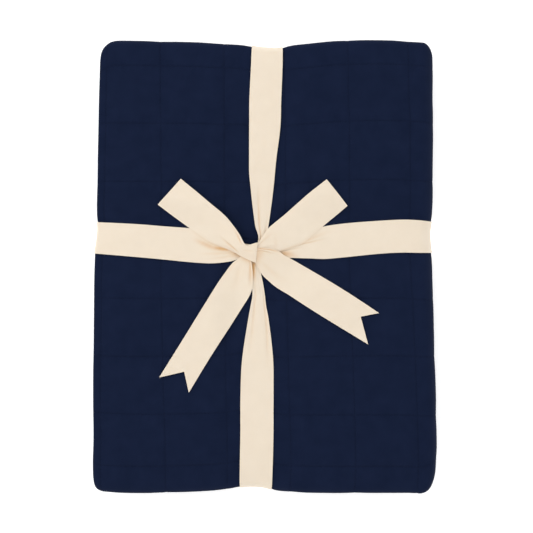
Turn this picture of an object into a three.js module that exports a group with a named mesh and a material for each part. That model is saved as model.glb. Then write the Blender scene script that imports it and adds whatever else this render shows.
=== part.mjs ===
// A quilted blanket, folded into a flat bundle and tied both ways with a ribbon and a bow.
// Millimetres, +Z up. X runs across the bundle and Y along it. The origin is on the surface
// that the bundle lies on, under its middle.

import * as THREE from "three";

// Cloth of the blanket and its folds
const BUNDLE_WIDTH = 385;
const BUNDLE_LENGTH = 508;
const LEAF = 6;
const LEAF_GAP = 1.2;
const PASSES = 4;
const HEM_Y = 32;
const HEM_GAP = 2;
const HEM_EDGE = 3;
const HEM_EDGE_SHARE = 0.45;
const BEND_STEPS = 5;
const INNER_BEND_STEPS = 2;
const TURN_STEPS = 5;
const HIDDEN_STOP_X = 100;

// Quilting: straight seams both ways, drawn into the outer face
const SEAM_PITCH_X = 70.2;
const SEAM_FIRST_X = -184;
const SEAMS_X = 6;
const SEAM_PITCH_Y = 65.6;
const SEAM_FIRST_Y = -230.8;
const SEAMS_Y = 8;
const SEAM_DEPTH = 2.4;
const SEAM_REACH = 13;
const BEND_EASE = 0.65;

// Ribbon
const RIBBON = 1;
const RIBBON_CLEAR = 0.9;
const NOTCH = 18;
const PLEATS = 2;
const PLEAT_DEPTH = 0.9;
const TAIL_PLEAT_SHARE = 0.25;
const LOOP_PLEAT_SHARE = 0.5;
const FULL_HALF = 18;
const CORNER_STEPS = 4;
const HEM_CORNER = 2;

// The stretches where a ribbon presses the bundle down, and how far the dent runs out beside it
const PRESS_SHARE = 0.1;
const PRESS_LONG = { from: -30, within: [-12, -1, 8], to: 21, runOut: 28 };
const PRESS_CROSS = { from: 0, within: [16, 38], to: 56, runOut: 34 };
const UNDER_RECESS = 2.2;

// How much of its height the bundle loses at each side, and how far in that starts
const SLUMP_REACH = 38;
const SLUMP = { left: 0.05, right: 0.06, front: 0.12, back: 0.06 };

// The bundle's outline in plan: how far each side lies from the middle
const LEFT_SIDE = [
  { y: -254, out: 192.2 },
  { y: -222, out: 192.3 },
  { y: -190, out: 191.3 },
  { y: -40, out: 191 },
  { y: 14, out: 190.4 },
  { y: 28, out: 188.3 },
  { y: 42, out: 187 },
  { y: 60, out: 188.2 },
  { y: 90, out: 187.2 },
  { y: 122, out: 186.8 },
  { y: 240, out: 184.4 },
  { y: 254, out: 184 },
];
const RIGHT_SIDE = [
  { y: -254, out: 192.4 },
  { y: -215, out: 194 },
  { y: -148, out: 193.4 },
  { y: -107, out: 192.4 },
  { y: -40, out: 190.6 },
  { y: 10, out: 189.4 },
  { y: 28, out: 186.9 },
  { y: 42, out: 186.4 },
  { y: 62, out: 189.2 },
  { y: 122, out: 190 },
  { y: 190, out: 189.3 },
  { y: 230, out: 189.8 },
  { y: 254, out: 189 },
];
const FRONT_SIDE = [
  { x: -192.5, out: 252.8 },
  { x: -149, out: 254.6 },
  { x: -93, out: 253.9 },
  { x: -59, out: 252.2 },
  { x: -40, out: 250.6 },
  { x: -26, out: 247.8 },
  { x: -4, out: 247 },
  { x: 6, out: 248.8 },
  { x: 13, out: 252.9 },
  { x: 27, out: 253.9 },
  { x: 87, out: 254.7 },
  { x: 192.5, out: 254.7 },
];
const BACK_SIDE = [
  { x: -192.5, out: 254 },
  { x: -160, out: 254 },
  { x: -82, out: 252.5 },
  { x: -30, out: 250.6 },
  { x: -16, out: 249.2 },
  { x: -6, out: 246.4 },
  { x: 15, out: 245.5 },
  { x: 27, out: 248.3 },
  { x: 42, out: 249.5 },
  { x: 87, out: 254 },
  { x: 143, out: 254.4 },
  { x: 192.5, out: 251.6 },
];
const CORNER_RADIUS = { frontLeft: 10, frontRight: 19, backLeft: 16, backRight: 11 };

// How far each run of the folded cloth lies in from that outline, from the top run down
const PASS_INSETS = [
  { left: 0, right: 0, front: 0, back: 0 },
  { left: 3, right: 0, front: 3, back: 2 },
  { left: 3, right: 2.5, front: 1.5, back: 3.5 },
  { left: 1.5, right: 2.5, front: 2.5, back: 1.5 },
];

// Centre line and half width of the two bands where they cross the top
const BAND_LONG = [
  { y: -254, x: -10, half: 18.2 },
  { y: -192, x: -9.7, half: 18.5 },
  { y: -136, x: -8.8, half: 18.4 },
  { y: -103, x: -7.8, half: 17.2 },
  { y: -58, x: -6.7, half: 11.3 },
  { y: -19, x: -6.8, half: 6 },
  { y: 16, x: -5.2, half: 4.6 },
  { y: 34, x: -3.4, half: 4.6 },
  { y: 47, x: -3.1, half: 7.5 },
  { y: 101, x: -4.4, half: 14.1 },
  { y: 128, x: -3.7, half: 15.7 },
  { y: 162, x: -2.1, half: 17.8 },
  { y: 195, x: -1.2, half: 18.3 },
  { y: 254, x: 0.7, half: 18 },
];
const BAND_CROSS = [
  { x: -192.5, y: 31.9, half: 17.6 },
  { x: -150, y: 30, half: 18.3 },
  { x: -122, y: 28, half: 18.5 },
  { x: -66, y: 23.3, half: 18.7 },
  { x: -38, y: 21, half: 15 },
  { x: -16, y: 17.4, half: 8 },
  { x: -5, y: 17.8, half: 7.5 },
  { x: 8, y: 19.4, half: 9.5 },
  { x: 29, y: 24.1, half: 13.2 },
  { x: 74, y: 28.3, half: 18.6 },
  { x: 141, y: 33.7, half: 18.4 },
  { x: 170, y: 35.3, half: 18.4 },
  { x: 192.5, y: 35.3, half: 17.8 },
];
const BAND_LONG_STOPS = [
  -239, -228, -210, -165, -130, -100, -75, -50, -25, 0, 20, 42, 65, 95, 130, 165, 210, 239,
];
const BAND_CROSS_STOPS = [-184, -166, -140, -105, -72, -46, -32, -17, -5, 7, 22, 50, 85, 120, 150, 168];

// Where the cross band rides over the long one: on the top at the knot, and underneath
const CROSSING_X = -5;
const CROSSING_REACH = 8;
const CROSSING_RAMP = 15;
const CROSSING_RISE = 3.8;
const UNDER_CROSSING_REACH = 26;
const UNDER_CROSSING_RISE = 1.8;

// The bow, from the knot outwards: how far out a line across the ribbon is, its left and right end
// as seen from the knot (x, y and the height above the bundle's top), and the height of a loop's
// lower sheet. The left loop's upper sheet runs on over the crossing, as the turn of the knot.
const LOOP_LEFT = [
  { at: -20, left: [-8.8, 4.8, 12.8], right: [-7, 28.4, 13.8] },
  { at: -14, left: [-12.4, 5.8, 13.6], right: [-10, 27.4, 14.4] },
  { at: -6, left: [-20.5, 8.8, 13.2], right: [-16, 25, 14.4] },
  { at: 0, left: [-27, 11.8, 12], right: [-19.6, 24.2, 14.2], under: 7.4 },
  { at: 6, left: [-32, 15.2, 10], right: [-22.6, 26.4, 13.8], under: 7 },
  { at: 18.3, left: [-43, 20.5, 7], right: [-29, 37, 13.2], under: 4.6 },
  { at: 39.4, left: [-63, 28.5, 5.2], right: [-44, 56.5, 10.6], under: 3.4 },
  { at: 64.2, left: [-85.5, 43.5, 4.6], right: [-63, 72.5, 7.2], under: 2.9 },
  { at: 105.9, left: [-121, 69, 4], right: [-95.5, 98, 4.2], under: 1.6 },
];
const LOOP_RIGHT = [
  { at: 0, left: [-7.6, 26, 10.6], right: [-9, 17, 9.4], under: 7.7 },
  { at: 7.8, left: [-3.4, 33, 12], right: [1.5, 19, 9.4], under: 7.8 },
  { at: 22.6, left: [5.4, 45.2, 12.2], right: [19.5, 21, 7], under: 5.4 },
  { at: 35.6, left: [14.8, 55.2, 11.2], right: [33.7, 24.2, 5.4], under: 3.6 },
  { at: 50, left: [25.2, 64.8, 9.4], right: [47.1, 29.4, 4.9], under: 3.2 },
  { at: 82.3, left: [48.6, 83.8, 6.2], right: [72.2, 50.2, 4.5], under: 2.7 },
  { at: 108.7, left: [68.5, 98, 4.2], right: [93, 67.4, 4], under: 1.6 },
];
const TAIL_LEFT = [
  { at: 2, left: [-12, 8.6, 8.2], right: [-25, 13, 5.6] },
  { at: 6.5, left: [-11.5, 3.5, 8.4], right: [-27, 10, 5.4] },
  { at: 17.3, left: [-12, -10.5, 7.4], right: [-35.3, 4.2, 3.4] },
  { at: 31.2, left: [-13, -26.5, 5], right: [-44.3, -6.3, 2.1] },
  { at: 51, left: [-22.5, -43.5, 2.4], right: [-56, -23, 1.7] },
  { at: 167.8, left: [-85, -140.5, 1.4], right: [-118, -123, 1.4] },
];
const TAIL_RIGHT = [
  { at: 0, left: [-11, 21, 12], right: [-13.3, 8.5, 10.4] },
  { at: 7, left: [-2, 23, 12.6], right: [-9, 4, 10.4] },
  { at: 20.9, left: [14.5, 22.5, 9.8], right: [-2.5, -8.5, 8] },
  { at: 32.3, left: [24.6, 15, 6.2], right: [6, -15, 5.4] },
  { at: 49.8, left: [39.9, 6, 2.6], right: [19.8, -23.9, 2.9] },
  { at: 104.7, left: [85.5, -22.5, 1.5], right: [68, -56.5, 1.6] },
  { at: 159.2, left: [129, -51.5, 1.4], right: [116, -86.5, 1.4] },
];
const LOOP_STEP = 11;
const LOOP_TURN_STEPS = 4;
const TAIL_STEP = 14;
const KNOT_END = 3;
const KNOT_STEP = 4;
const PART_GAP = 0.6;

const NAVY_CLOTH = { color: 0x1b2440, roughness: 0.95 };
const CREAM_RIBBON = { color: 0xf0e2cc, roughness: 0.85 };

const HALF_WIDTH = BUNDLE_WIDTH / 2;
const HALF_LENGTH = BUNDLE_LENGTH / 2;
const DOUBLE = 2 * LEAF + LEAF_GAP;
const PASS_PITCH = DOUBLE + LEAF_GAP;
const HEIGHT = PASSES * DOUBLE + (PASSES - 1) * LEAF_GAP;
const { clamp, lerp, smoothstep } = THREE.MathUtils;

// A column of a table at a place along its key column, on a smooth curve through the rows
function along(rows, key, at, column) {
  const last = rows.length - 1;
  let i = 0;
  while (i < last - 1 && at > rows[i + 1][key]) i += 1;
  const [a, b, c, d] = [rows[Math.max(i - 1, 0)], rows[i], rows[i + 1], rows[Math.min(i + 2, last)]];
  const span = c[key] - b[key];
  const t = clamp((at - b[key]) / span, 0, 1);
  const slopeB = (span * (c[column] - a[column])) / (c[key] - a[key]);
  const slopeC = (span * (d[column] - b[column])) / (d[key] - b[key]);
  const rest = 1 - t;
  return (
    b[column] * (1 + 2 * t) * rest * rest +
    slopeB * t * rest * rest +
    c[column] * (3 - 2 * t) * t * t -
    slopeC * t * t * rest
  );
}

// How fully a ribbon presses at a place: 1 under it, falling to 0 where the dent runs out
function pressed(press, at) {
  const outside = Math.max(press.from - at, at - press.to, 0);
  return 1 - clamp(outside / press.runOut, 0, 1);
}

// The places where the cloth needs a line to follow the dent under a ribbon
function pressStops({ from, within, to, runOut }) {
  return [from - runOut, from, ...within, to, to + runOut];
}

function slumped(distance) {
  const share = 1 - clamp(distance / SLUMP_REACH, 0, 1);
  return share * share;
}

// Insets of the folded runs at a height, blended from run to run round the folds
function insetsAt(z) {
  const level = clamp((HEIGHT - DOUBLE / 2 - z) / PASS_PITCH, 0, PASSES - 1);
  const upper = PASS_INSETS[Math.floor(level)];
  const lower = PASS_INSETS[Math.ceil(level)];
  const share = level - Math.floor(level);
  const blend = (side) => lerp(upper[side], lower[side], share);
  return { left: blend("left"), right: blend("right"), front: blend("front"), back: blend("back") };
}

// How far a corner's rounding draws a point in along Y
function cornerDraw(x, y) {
  const side = x < 0 ? "Left" : "Right";
  const radius = CORNER_RADIUS[(y < 0 ? "front" : "back") + side];
  const fromSide = clamp(HALF_WIDTH - Math.abs(x), 0, radius);
  const draw = radius - Math.sqrt(radius * radius - (radius - fromSide) ** 2);
  return draw * smoothstep(Math.abs(y), HALF_LENGTH - 4 * radius, HALF_LENGTH) * Math.sign(y);
}

// Moves a point of the square, even stack to where the soft, tied bundle lies. Taut things,
// such as the ribbon, keep to the outline at every height.
function settle(x, y, z, taut = false) {
  const inset = taut ? PASS_INSETS[0] : insetsAt(z);
  const left = inset.left - along(LEFT_SIDE, "y", y, "out");
  const right = along(RIGHT_SIDE, "y", y, "out") - inset.right;
  const front = inset.front - along(FRONT_SIDE, "x", x, "out");
  const back = along(BACK_SIDE, "x", x, "out") - inset.back;
  const press = PRESS_SHARE * Math.max(pressed(PRESS_LONG, x), pressed(PRESS_CROSS, y));
  const slump = Math.max(
    SLUMP.left * slumped(x + HALF_WIDTH),
    SLUMP.right * slumped(HALF_WIDTH - x),
    SLUMP.front * slumped(y + HALF_LENGTH),
    SLUMP.back * slumped(HALF_LENGTH - y),
  );
  const recess = taut ? 0 : UNDER_RECESS * (pressed(PRESS_LONG, x) + pressed(PRESS_CROSS, y));
  return new THREE.Vector3(
    lerp(left, right, (x + HALF_WIDTH) / BUNDLE_WIDTH),
    lerp(front, back, (y + HALF_LENGTH) / BUNDLE_LENGTH) - cornerDraw(x, y),
    z * (1 - press - slump) + recess * clamp(1 - z / DOUBLE, 0, 1),
  );
}

// Triangles that close a thin ring: a strip between the run of points along its outside and
// the run that comes back along its inside
function stripCap(ring, outsideCount) {
  const outside = ring.keys().toArray().slice(0, outsideCount);
  const inside = ring.keys().toArray().slice(outsideCount).toReversed();
  const shares = (run) => {
    const lengths = [0];
    run.slice(1).forEach((to, i) => lengths.push(lengths[i] + ring[to].distanceTo(ring[run[i]])));
    return lengths.map((length) => length / lengths.at(-1));
  };
  const [outsideShares, insideShares] = [shares(outside), shares(inside)];
  const triangles = [];
  let [i, j] = [0, 0];
  while (i + j < ring.length - 2) {
    if ((outsideShares[i + 1] ?? 2) <= (insideShares[j + 1] ?? 2)) {
      triangles.push([outside[i], outside[i + 1], inside[j]]);
      i += 1;
    } else {
      triangles.push([outside[i], inside[j + 1], inside[j]]);
      j += 1;
    }
  }
  return triangles;
}

// A closed solid through rings of points. Its ends are capped, with outsideCount points on the
// outside of a ring, or the last ring meets the first.
function loft(rings, outsideCount = 0) {
  const size = rings[0].length;
  const positions = rings.flat().flatMap((point) => point.toArray());
  const index = [];
  const spans = outsideCount ? rings.length - 1 : rings.length;
  for (let i = 0; i < spans; i += 1) {
    const a = i * size;
    const b = ((i + 1) % rings.length) * size;
    for (let j = 0; j < size; j += 1) {
      const k = (j + 1) % size;
      index.push(a + j, a + k, b + k, a + j, b + k, b + j);
    }
  }
  if (outsideCount) {
    const end = (rings.length - 1) * size;
    stripCap(rings[0], outsideCount).forEach(([p, q, r]) => index.push(p, r, q));
    stripCap(rings.at(-1), outsideCount).forEach(([p, q, r]) => index.push(end + p, end + q, end + r));
  }
  const geometry = new THREE.BufferGeometry();
  geometry.setAttribute("position", new THREE.Float32BufferAttribute(positions, 3));
  geometry.setIndex(facingOut(positions, index));
  geometry.computeVertexNormals();
  return geometry;
}

// The triangles turned so that the solid's volume is positive
function facingOut(positions, index) {
  const corner = (i) => new THREE.Vector3().fromArray(positions, 3 * index[i]);
  let volume = 0;
  for (let i = 0; i < index.length; i += 3) {
    volume += corner(i).dot(corner(i + 1).cross(corner(i + 2)));
  }
  return volume > 0 ? index : index.toReversed();
}

const seamsX = Array.from({ length: SEAMS_X }, (_, i) => SEAM_FIRST_X + i * SEAM_PITCH_X);
const seamsY = Array.from({ length: SEAMS_Y }, (_, i) => SEAM_FIRST_Y + i * SEAM_PITCH_Y);

// How far the outer face is drawn in at a place by the nearest seam
function seamDraw(x, y) {
  const near = (seams, at) => Math.min(...seams.map((seam) => Math.abs(seam - at)));
  const nearest = Math.min(near(seamsX, x), near(seamsY, y));
  return SEAM_DEPTH * (1 - clamp(nearest / SEAM_REACH, 0, 1));
}

function ascending(values) {
  return [...new Set(values)].sort((a, b) => a - b);
}

// The doubled cloth's section: a flat C in Y and n, the distance from its middle. Its whole
// leaf is on the +n side, and the two turned-in edges meet on the other. share thins the leaf.
function clothSection(share) {
  const middle = (LEAF + LEAF_GAP) / 2;
  const outer = middle + (share * LEAF) / 2;
  const inner = middle - (share * LEAF) / 2;
  const bendY = HALF_LENGTH - DOUBLE / 2;
  const seamStops = seamsY.flatMap((seam) => [seam - SEAM_REACH, seam, seam + SEAM_REACH]);
  const fine = ascending([-bendY, ...seamStops, PRESS_CROSS.from, PRESS_CROSS.to, bendY]);
  const slumpStop = HALF_LENGTH - SLUMP_REACH;
  const plain = ascending([-bendY, -slumpStop, ...pressStops(PRESS_CROSS), slumpStop, bendY]);
  const hemBack = HEM_Y + HEM_GAP / 2;
  const hemFront = HEM_Y - HEM_GAP / 2;
  const backLeaf = [hemBack, ...plain.filter((y) => y > hemBack)];
  const frontLeaf = [...plain.filter((y) => y < hemFront), hemFront];
  const points = [];
  const add = (y, n, face) => points.push({ y, n, face });
  const bend = (sign, from, radius, steps, face) => {
    for (let i = 1; i < steps; i += 1) {
      const angle = from - (sign * Math.PI * i) / steps;
      add(sign * (bendY + radius * Math.abs(Math.cos(angle))), radius * Math.sin(angle), face);
    }
  };
  const quarter = Math.PI / 2;
  frontLeaf.toReversed().forEach((y) => add(y, -outer, "turned"));
  bend(-1, -quarter, outer, BEND_STEPS, "bend");
  fine.forEach((y) => add(y, outer, "quilted"));
  bend(1, quarter, outer, BEND_STEPS, "bend");
  backLeaf.toReversed().forEach((y) => add(y, -outer, "turned"));
  backLeaf.forEach((y) => add(y, -inner, "inside"));
  bend(1, -quarter, -inner, INNER_BEND_STEPS, "inside");
  plain.toReversed().forEach((y) => add(y, inner, "inside"));
  bend(-1, quarter, -inner, INNER_BEND_STEPS, "inside");
  frontLeaf.forEach((y) => add(y, -inner, "inside"));
  return points;
}

// The stations of the run back and forth: a place, the direction of +n there, and the leaf's share
function foldStations() {
  const turnReach = (PASS_PITCH + DOUBLE) / 2;
  const rightTurn = HALF_WIDTH - turnReach;
  const leftTurn = -rightTurn;
  const seamStops = seamsX.flatMap((seam) => [seam - SEAM_REACH, seam, seam + SEAM_REACH]);
  const cornerStops = [-HALF_WIDTH + CORNER_RADIUS.backLeft, rightTurn - CORNER_RADIUS.backRight / 2];
  const plain = [-HIDDEN_STOP_X, ...pressStops(PRESS_LONG), HIDDEN_STOP_X];
  const stations = [];
  const flat = (pass, stops) => {
    const z = HEIGHT - DOUBLE / 2 - pass * PASS_PITCH;
    const up = pass % 2 === 0 ? 1 : -1;
    stops.forEach((x) => stations.push({ x, z, nx: 0, nz: up, share: 1, top: pass === 0 }));
  };
  const turn = (pass) => {
    const z = HEIGHT - DOUBLE / 2 - (pass + 0.5) * PASS_PITCH;
    const side = pass % 2 === 0 ? 1 : -1;
    for (let i = 1; i < TURN_STEPS; i += 1) {
      const angle = side * (Math.PI / 2 - (Math.PI * i) / TURN_STEPS);
      const [nx, nz] = [Math.cos(angle), Math.sin(angle)];
      const x = (side > 0 ? rightTurn : leftTurn) + (side * PASS_PITCH * nx) / 2;
      stations.push({ x, z: z + (side * PASS_PITCH * nz) / 2, nx, nz, share: 1, top: pass === 0 });
    }
  };
  const inTop = (x) => x > HEM_EDGE - HALF_WIDTH && x < rightTurn;
  const hem = [-HALF_WIDTH + HEM_EDGE, -HALF_WIDTH];
  const topStops = ascending([...seamStops, ...pressStops(PRESS_LONG), ...cornerStops]).filter(inTop);
  flat(0, [...hem.toReversed(), ...topStops, rightTurn]);
  turn(0);
  flat(1, [rightTurn, ...plain.toReversed(), leftTurn]);
  turn(1);
  flat(2, [leftTurn, ...plain, rightTurn]);
  turn(2);
  flat(3, [rightTurn, ...plain.toReversed(), leftTurn, ...hem]);
  stations[0].share = HEM_EDGE_SHARE;
  stations.at(-1).share = HEM_EDGE_SHARE;
  return stations;
}

// The blanket: the doubled section carried along the run, quilted on its whole leaf
function blanketGeometry() {
  const rings = foldStations().map((station) =>
    clothSection(station.share).map((point) => {
      const draw = station.top && point.face === "quilted" ? seamDraw(station.x, point.y) : 0;
      const n = point.n - draw * (1 - BEND_EASE * Math.abs(station.nx));
      const x = station.x + n * station.nx;
      const z = station.z + n * station.nz;
      return settle(x, point.y, z);
    }),
  );
  const outsideCount = clothSection(1).filter((point) => point.face !== "inside").length;
  return loft(rings, outsideCount);
}

const ACROSS = [-1, -0.5, 0, 0.5, 1];

// One ring round a ribbon: its face from edge to edge, then its back. The pleats are deepest
// where the ribbon is gathered narrowest.
function ribbonRing({ place, side, normal, half, notch = 0, pleatShare = 1 }) {
  const gather = clamp((FULL_HALF - half) / FULL_HALF, 0, 1);
  const backward = new THREE.Vector3().crossVectors(normal, side);
  const at = (share, thickness) => {
    const pleat = pleatShare * PLEAT_DEPTH * gather * (1 - Math.cos(PLEATS * Math.PI * (share + 1)));
    const point = place
      .clone()
      .addScaledVector(side, share * half)
      .addScaledVector(normal, thickness + pleat)
      .addScaledVector(backward, notch * (1 - Math.abs(share)));
    return settle(point.x, point.y, point.z, true);
  };
  const face = ACROSS.map((share) => at(share, RIBBON / 2));
  const back = ACROSS.toReversed().map((share) => at(share, -RIBBON / 2));
  return [...face, ...back];
}

// A band's closed way round the bundle in its own plane: the length along it, the height of the
// ribbon's middle and the direction that its face looks. radii are those of the fold at the near
// and far end, and rise lifts the band over the other one.
function bandWay(halfSpan, radii, stops, topRise, underRise) {
  const top = HEIGHT + RIBBON_CLEAR + RIBBON / 2;
  const under = RIBBON_CLEAR / 2 + RIBBON / 2;
  const way = [];
  const corner = (sign, up) => {
    const radius = sign > 0 ? radii.far : radii.near;
    const reach = radius + RIBBON_CLEAR + RIBBON / 2;
    const inner = halfSpan - radius;
    const z = up ? HEIGHT - radius : under + reach;
    const from = up ? Math.PI / 2 : 0;
    for (let i = 0; i <= CORNER_STEPS; i += 1) {
      const step = (i / CORNER_STEPS) * (Math.PI / 2);
      const angle = sign > 0 ? from - step : from - step + (up ? Math.PI / 2 : -Math.PI / 2);
      way.push({ u: sign * inner + reach * Math.cos(angle), z: z + reach * Math.sin(angle), angle });
    }
  };
  stops.forEach((u) => way.push({ u, z: top + topRise(u), angle: Math.PI / 2 }));
  corner(1, true);
  corner(1, false);
  stops.toReversed().forEach((u) => way.push({ u, z: under + underRise(u), angle: -Math.PI / 2 }));
  corner(-1, false);
  corner(-1, true);
  return way;
}

const none = () => 0;

// Full height within a reach of a place, falling to nothing down a ramp
function humpOver(centre, reach, ramp, rise) {
  return (at) => rise * (1 - smoothstep(Math.abs(at - centre), reach, reach + ramp));
}

function bandLongGeometry() {
  const radii = { near: DOUBLE / 2, far: DOUBLE / 2 };
  const rings = bandWay(HALF_LENGTH, radii, BAND_LONG_STOPS, none, none).map(({ u, z, angle }) => {
    const place = new THREE.Vector3(along(BAND_LONG, "y", u, "x"), u, z);
    const half = angle === Math.PI / 2 ? along(BAND_LONG, "y", u, "half") : FULL_HALF;
    const normal = new THREE.Vector3(0, Math.cos(angle), Math.sin(angle));
    return ribbonRing({ place, side: new THREE.Vector3(1, 0, 0), normal, half });
  });
  return loft(rings);
}

function bandCrossGeometry() {
  const over = humpOver(CROSSING_X, CROSSING_REACH, CROSSING_RAMP, CROSSING_RISE);
  const under = humpOver(CROSSING_X, UNDER_CROSSING_REACH, CROSSING_RAMP, UNDER_CROSSING_RISE);
  const radii = { near: HEM_CORNER, far: (PASS_PITCH + DOUBLE) / 2 };
  const rings = bandWay(HALF_WIDTH, radii, BAND_CROSS_STOPS, over, under).map(({ u, z, angle }) => {
    const place = new THREE.Vector3(u, along(BAND_CROSS, "x", u, "y"), z);
    const half = angle === Math.PI / 2 ? along(BAND_CROSS, "x", u, "half") : FULL_HALF;
    const normal = new THREE.Vector3(Math.cos(angle), 0, Math.sin(angle));
    return ribbonRing({ place, side: new THREE.Vector3(0, 1, 0), normal, half });
  });
  return loft(rings);
}

// Rings along a free stretch of ribbon, each square to the way it runs
function ribbonRings(stations) {
  return stations.map((station, i) => {
    const before = stations[Math.max(i - 1, 0)].place;
    const after = stations[Math.min(i + 1, stations.length - 1)].place;
    const forward = after.clone().sub(before).normalize();
    const normal = new THREE.Vector3().crossVectors(forward, station.side).normalize();
    return ribbonRing({ ...station, normal });
  });
}

// Even steps from one place to another, none longer than a step
function evenSteps(from, to, step) {
  const count = Math.ceil((to - from) / step);
  return Array.from({ length: count + 1 }, (_, i) => lerp(from, to, i / count));
}

// A point on one edge of a free stretch of ribbon
function edgeAt(rows, at, edge) {
  const place = [0, 1, 2].map((axis) => {
    const column = rows.map((row) => ({ at: row.at, value: row[edge][axis] }));
    return along(column, "at", at, "value");
  });
  return new THREE.Vector3(...place).add(new THREE.Vector3(0, 0, HEIGHT));
}

// The middle, direction across and half width of a free stretch of ribbon at a distance
function bowStation(rows, at) {
  const left = edgeAt(rows, at, "left");
  const right = edgeAt(rows, at, "right");
  const across = left.clone().sub(right);
  const half = across.length() / 2;
  return { place: left.add(right).divideScalar(2), side: across.normalize(), half };
}

// A flat loop: out along its lower sheet, round the end, and back along its upper sheet
function loopGeometry(rows, upperFrom) {
  const end = rows.at(-1);
  const lowerRows = rows.filter((row) => "under" in row);
  const lower = evenSteps(lowerRows[0].at, end.at, LOOP_STEP).map((at) => {
    const { place, side, half } = bowStation(rows, at);
    place.z = HEIGHT + along(lowerRows, "at", at, "under");
    return { place, side: side.setZ(0).normalize(), half, pleatShare: 0 };
  });
  const upper = evenSteps(upperFrom, end.at, LOOP_STEP).map((at) => ({
    ...bowStation(rows, at),
    pleatShare: -LOOP_PLEAT_SHARE,
  }));
  const { place: tip, side, half } = lower.at(-1);
  const outward = new THREE.Vector3(side.y, -side.x, 0);
  const radius = (upper.at(-1).place.z - tip.z) / 2;
  const turn = Array.from({ length: LOOP_TURN_STEPS - 1 }, (_, i) => {
    const angle = (Math.PI * (i + 1)) / LOOP_TURN_STEPS;
    const rise = new THREE.Vector3(0, 0, radius * (1 - Math.cos(angle)));
    const place = tip.clone().add(rise).addScaledVector(outward, radius * Math.sin(angle));
    return { place, side, half, pleatShare: 0 };
  });
  return loft(ribbonRings([...lower, ...turn, ...upper.toReversed()]), ACROSS.length);
}

// A free end, cut with a V notch
function tailGeometry(rows) {
  const stations = evenSteps(rows[0].at, rows.at(-1).at, TAIL_STEP).map((at) => ({
    ...bowStation(rows, at),
    pleatShare: TAIL_PLEAT_SHARE,
  }));
  stations.at(-1).notch = NOTCH;
  return loft(ribbonRings(stations), ACROSS.length);
}

// The turn of the knot: the stretch of the left loop's upper sheet that wraps the crossing
function knotGeometry() {
  const stations = evenSteps(LOOP_LEFT[0].at, KNOT_END, KNOT_STEP).map((at) => ({
    ...bowStation(LOOP_LEFT, at),
    pleatShare: LOOP_PLEAT_SHARE,
  }));
  return loft(ribbonRings(stations), ACROSS.length);
}

function piece(name, geometry, { color, roughness }) {
  const mesh = new THREE.Mesh(geometry, new THREE.MeshStandardMaterial({ color, roughness, metalness: 0 }));
  mesh.name = name;
  return mesh;
}

const bundle = new THREE.Group();
bundle.add(
  piece("blanket", blanketGeometry(), NAVY_CLOTH),
  piece("ribbon_band_long", bandLongGeometry(), CREAM_RIBBON),
  piece("ribbon_band_cross", bandCrossGeometry(), CREAM_RIBBON),
  piece("bow_loop_left", loopGeometry(LOOP_LEFT, KNOT_END + PART_GAP), CREAM_RIBBON),
  piece("bow_loop_right", loopGeometry(LOOP_RIGHT, LOOP_RIGHT[0].at), CREAM_RIBBON),
  piece("bow_tail_left", tailGeometry(TAIL_LEFT), CREAM_RIBBON),
  piece("bow_tail_right", tailGeometry(TAIL_RIGHT), CREAM_RIBBON),
  piece("bow_knot", knotGeometry(), CREAM_RIBBON),
);

export default bundle;
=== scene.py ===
import math

import bpy
import numpy as np
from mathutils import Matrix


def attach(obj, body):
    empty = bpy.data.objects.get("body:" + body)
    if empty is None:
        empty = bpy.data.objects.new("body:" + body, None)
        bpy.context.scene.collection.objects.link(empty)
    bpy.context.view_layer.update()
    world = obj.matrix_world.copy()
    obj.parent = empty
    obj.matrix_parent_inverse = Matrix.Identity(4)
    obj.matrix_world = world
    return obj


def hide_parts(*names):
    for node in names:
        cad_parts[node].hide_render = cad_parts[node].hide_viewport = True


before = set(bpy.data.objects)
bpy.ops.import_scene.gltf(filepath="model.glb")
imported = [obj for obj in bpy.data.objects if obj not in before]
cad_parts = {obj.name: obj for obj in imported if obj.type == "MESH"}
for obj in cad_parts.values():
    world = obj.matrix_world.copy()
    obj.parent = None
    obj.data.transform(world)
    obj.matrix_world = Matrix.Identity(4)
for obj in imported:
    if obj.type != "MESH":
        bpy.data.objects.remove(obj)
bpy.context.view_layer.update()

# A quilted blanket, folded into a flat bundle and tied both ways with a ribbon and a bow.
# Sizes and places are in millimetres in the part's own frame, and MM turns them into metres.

MM = 0.001
BODY = "root"

# Cloth of the blanket and its folds
BUNDLE_WIDTH = 385
BUNDLE_LENGTH = 508
LEAF = 6
LEAF_GAP = 1.2
PASSES = 4
HEM_Y = 32
HEM_GAP = 2
HEM_ROUND = 3.2
HEM_TIP = 0.05

HALF_WIDTH = BUNDLE_WIDTH / 2
HALF_LENGTH = BUNDLE_LENGTH / 2
DOUBLE = 2 * LEAF + LEAF_GAP
PASS_PITCH = DOUBLE + LEAF_GAP
HEIGHT = PASSES * DOUBLE + (PASSES - 1) * LEAF_GAP

# Across the cut cloth: front edge turned in, front bend, whole leaf, back bend, back edge turned in
BEND_RADIUS = (LEAF + LEAF_GAP) / 2
BEND_Y = HALF_LENGTH - DOUBLE / 2
BEND = math.pi * BEND_RADIUS
FRONT_EDGE = HEM_Y - HEM_GAP / 2 + BEND_Y
BACK_EDGE = BEND_Y - HEM_Y - HEM_GAP / 2
V_FRONT_BEND = FRONT_EDGE
V_LEAF = V_FRONT_BEND + BEND
V_BACK_BEND = V_LEAF + 2 * BEND_Y
V_BACK_EDGE = V_BACK_BEND + BEND
CUT_WIDTH = V_BACK_EDGE + BACK_EDGE

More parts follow.
